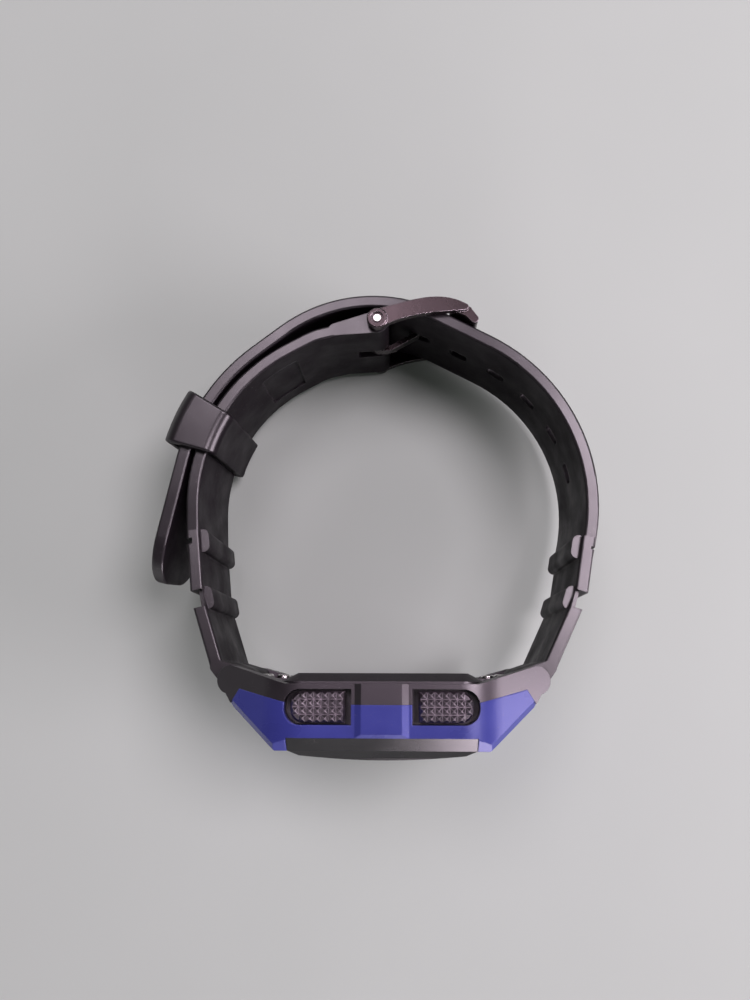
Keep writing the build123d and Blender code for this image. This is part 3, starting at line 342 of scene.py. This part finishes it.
LILAC = (1.0, 0.88, 1.0)
CLEAN = {"wear_and_highlight": 0, "dust": 0}
RESINS = {
    # The blue resin's edges are painted lighter: partly wear, partly painted highlight.
    "blue_resin": dict(colour=(0.038, 0.045, 0.250), roughness=0.30, grain=0.12, tint=(0.50, 0.56, 1.0),
                       coat=0.25, coat_roughness=0.25, edge=0.00025, wear_and_highlight=0.5, dust=0.3),
    "black_resin": dict(colour=(0.010, 0.0075, 0.010), roughness=0.42, grain=0.25, tint=LILAC,
                        coat=0.8, coat_roughness=0.27, coat_ior=1.7, coat_levels=(0.15, 0.5), wear_and_highlight=0.5),
    "strap_resin": dict(colour=(0.009, 0.0068, 0.009), roughness=0.48, grain=0.45, specular=0.1, tint=LILAC,
                        coat=1.0, coat_roughness=0.28, coat_ior=1.7, coat_levels=(0.15, 0.5),
                        edge=0.0005, wear_and_highlight=0.6, uneven=0.14),
    "gloss_black": dict(colour=(0.006, 0.0055, 0.007), roughness=0.25, grain=0.04, specular=0.07,
                        coat=1.0, coat_roughness=0.2, coat_levels=(0.45, 0.62), wear_and_highlight=0.2, dust=0.3),
    # The button studs' pale lilac edges are painted highlight.
    "button_resin": dict(colour=(0.014, 0.011, 0.014), roughness=0.30, grain=0.2, specular=0.8, tint=LILAC,
                         coat=1.0, coat_roughness=0.3, coat_ior=1.7, edge=0.00012, wear_and_highlight=1.0,
                         worn_and_highlight_colour=(0.50, 0.42, 0.49)),
    "gasket_rubber": dict(colour=(0.012, 0.012, 0.012), roughness=0.62),
    "mask_print": dict(colour=(0.012, 0.012, 0.014), roughness=0.5, **CLEAN),
    "light_guide": dict(colour=(0.70, 0.72, 0.70), roughness=0.3, **CLEAN),
    "frame_plastic": dict(colour=(0.05, 0.05, 0.05), roughness=0.5),
    "board_green": dict(colour=(0.015, 0.12, 0.05), roughness=0.3, coat=0.4, **CLEAN),
    "antenna_ceramic": dict(colour=(0.62, 0.56, 0.42), roughness=0.35, **CLEAN),
    "lcd": dict(colour=(0.36, 0.39, 0.32), roughness=0.25, grain=0.02, coat=0.5, **CLEAN),
    "figures": dict(colour=(0.010, 0.012, 0.014), roughness=0.35, **CLEAN),
}
METALS = {
    # The buckle's pale lilac edges are partly rubbed plating, partly painted highlight.
    "black_plated": dict(colour=(0.042, 0.031, 0.033), roughness=0.27, metallic=0.8, edge=0.00018,
                         rubbed_and_highlight_colour=(0.75, 0.66, 0.70)),
    "steel": dict(colour=(0.80, 0.78, 0.77), roughness=0.24),
    "gold_plated": dict(colour=(0.83, 0.60, 0.26), roughness=0.2),
    "cell_silver": dict(colour=(0.6, 0.6, 0.62), roughness=0.35, metallic=0.9),
    "tin": dict(colour=(0.55, 0.55, 0.53), roughness=0.32),
}
looks = {name: resin(name, **values) for name, values in RESINS.items()}
looks.update({name: metal(name, **values) for name, values in METALS.items()})
looks["crystal"] = glass("crystal")

for part in frame["record"]["subparts"]:
    mesh = nodes[part["node"]].data
    mesh.materials.clear()
    mesh.materials.append(looks[part["material_slot"]])

# ---------------------------------------------------------------- floor
FLOOR_REACH = 3  # metres from the watch to each edge
PAPER_SIZE = 0.05
PAPER_DARK, PAPER_LIGHT = (0.50, 0.565, 0.51), (0.54, 0.605, 0.55)
PAPER_SPECULAR = 0.2
PAPER_ROUGHNESS = 0.9
# The paper glows a little between these distances, so that it stays pale behind the watch from any side.
GLOW_RANGE = (0.60, 1.8)
GLOW = 0.35

corners = [(x * FLOOR_REACH, y * FLOOR_REACH, 0) for x, y in ((-1, -1), (1, -1), (1, 1), (-1, 1))]
floor_mesh = bpy.data.meshes.new("floor")
floor_mesh.from_pydata(corners, [], [(0, 1, 2, 3)])
floor = bpy.data.objects.new("floor", floor_mesh)
scene.collection.objects.link(floor)
paper = Look("paper", {"Specular IOR Level": PAPER_SPECULAR, "Roughness": PAPER_ROUGHNESS,
                       "Emission Color": (*WHITE, 1)})
paper.set("Base Color", paper.blend(paper.noise(PAPER_SIZE, detail=3), PAPER_DARK, PAPER_LIGHT))
distance = paper.tree.nodes.new("ShaderNodeVectorMath")
distance.operation = "LENGTH"
paper.feed(paper.place, distance.inputs[0])
paper.set("Emission Strength", paper.ramp(distance.outputs["Value"], GLOW_RANGE, (0.0, GLOW)))
floor_mesh.materials.append(paper.mat)


# ---------------------------------------------------------------- springs copied from the buttons' own, which are hidden
def span(points, direction):
    """The least and the greatest distance of some points along a direction."""
    distances = [point.dot(direction) for point in points]
    return min(distances), max(distances)


press = {joint["child"]: Vector(joint["axis"]) for joint in frame["joints"] if joint["type"] == "slide"}
for button, inward in press.items():
    node = nodes[f"{button}_spring"]
    coil = bpy.data.objects.new(f"{button}_return_spring", node.data.copy())
    scene.collection.objects.link(coil)
    points = [vertex.co for vertex in coil.data.vertices]
    middle = sum(points, Vector()) / len(points)
    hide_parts(node.name)
    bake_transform(coil)

# ---------------------------------------------------------------- figures on the display
# Millimetres on the face of the display: across to 3 o'clock, up to 12 o'clock, and out to the eye.
MM = 0.001
FIGURE_DEPTH = 0.05
# Parts of a figure's height.
HALF_WIDTH = 0.27
BAR_THICK = 0.13
PITCH = 0.86
SLANT = 0.10  # how far a figure leans sideways
BAR_GAP = 0.12  # free at each end of a bar, as a part of its thickness
SEGMENTS = {"0": "abcdef", "1": "bc", "2": "abged", "3": "abgcd", "4": "fgbc", "5": "afgcd",
            "6": "afgedc", "7": "abc", "8": "abcdefg", "9": "abcdfg"}
# Each row's figures, its middle across and up, and its height.
ROWS = {
    "figures_front": ("132", 3.6, 5.6, 3.0),
    "figures_middle": ("147", 1.2, 0.0, 5.6),
    "figures_back": ("160", 3.6, -5.6, 3.0),
    "figures_hole": ("12", -7.6, 5.6, 3.0),
}

to_3 = -press["button_2"].normalized()
to_12 = Vector((-1, 0, 0))
to_eye = to_3.cross(to_12)
panel = [vertex.co for vertex in nodes["lcd_panel"].data.vertices]
panel_middle = (to_3 * sum(span(panel, to_3)) / 2 + to_12 * sum(span(panel, to_12)) / 2
                + to_eye * max(span(panel, to_eye)))


def on_display(across, up, out):
    """A place on the display, in metres in the shared frame."""
    return panel_middle + MM * (to_3 * across + to_12 * up + to_eye * out)


def segment_bars(high):
    """The seven bars of one figure: their two ends, across and up from its middle."""
    half, side = high / 2, high * HALF_WIDTH
    return {
        "a": ((-side, half), (side, half)),
        "b": ((side, half), (side, 0)),
        "c": ((side, 0), (side, -half)),
        "d": ((-side, -half), (side, -half)),
        "e": ((-side, 0), (-side, -half)),
        "f": ((-side, half), (-side, 0)),
        "g": ((-side, 0), (side, 0)),
    }


def add_bar(verts, faces, start, end, thick, across, up):
    """One bar, a long six-sided plate with pointed ends."""
    start, end = Vector(start), Vector(end)
    along = (end - start).normalized()
    start, end = start + along * thick * BAR_GAP, end - along * thick * BAR_GAP
    side = Vector((-along.y, along.x)) * thick / 2
    tip = along * thick / 2
    outline = (start, start + tip + side, end - tip + side, end, end - tip - side, start + tip - side)
    count = len(outline)
    first = len(verts)
    for out in (0, FIGURE_DEPTH):
        verts.extend(on_display(across + p.x + SLANT * p.y, up + p.y, out) for p in outline)
    faces.append([first + i for i in range(count)])
    faces.append([first + 2 * count - 1 - i for i in range(count)])
    for i in range(count):
        after = (i + 1) % count
        faces.append([first + i, first + count + i, first + count + after, first + after])


for name, (text, across, up, high) in ROWS.items():
    verts, faces = [], []
    for place, figure in enumerate(text):
        middle = across + (place - (len(text) - 1) / 2) * high * PITCH
        for bar, (start, end) in segment_bars(high).items():
            if bar in SEGMENTS[figure]:
                add_bar(verts, faces, start, end, high * BAR_THICK, middle, up)
    mesh = bpy.data.meshes.new(name)
    mesh.from_pydata(verts, [], faces)
    mesh.validate()
    piece = bpy.data.objects.new(name, mesh)
    scene.collection.objects.link(piece)
    mesh.materials.append(looks["figures"])
    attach(piece, "watch")
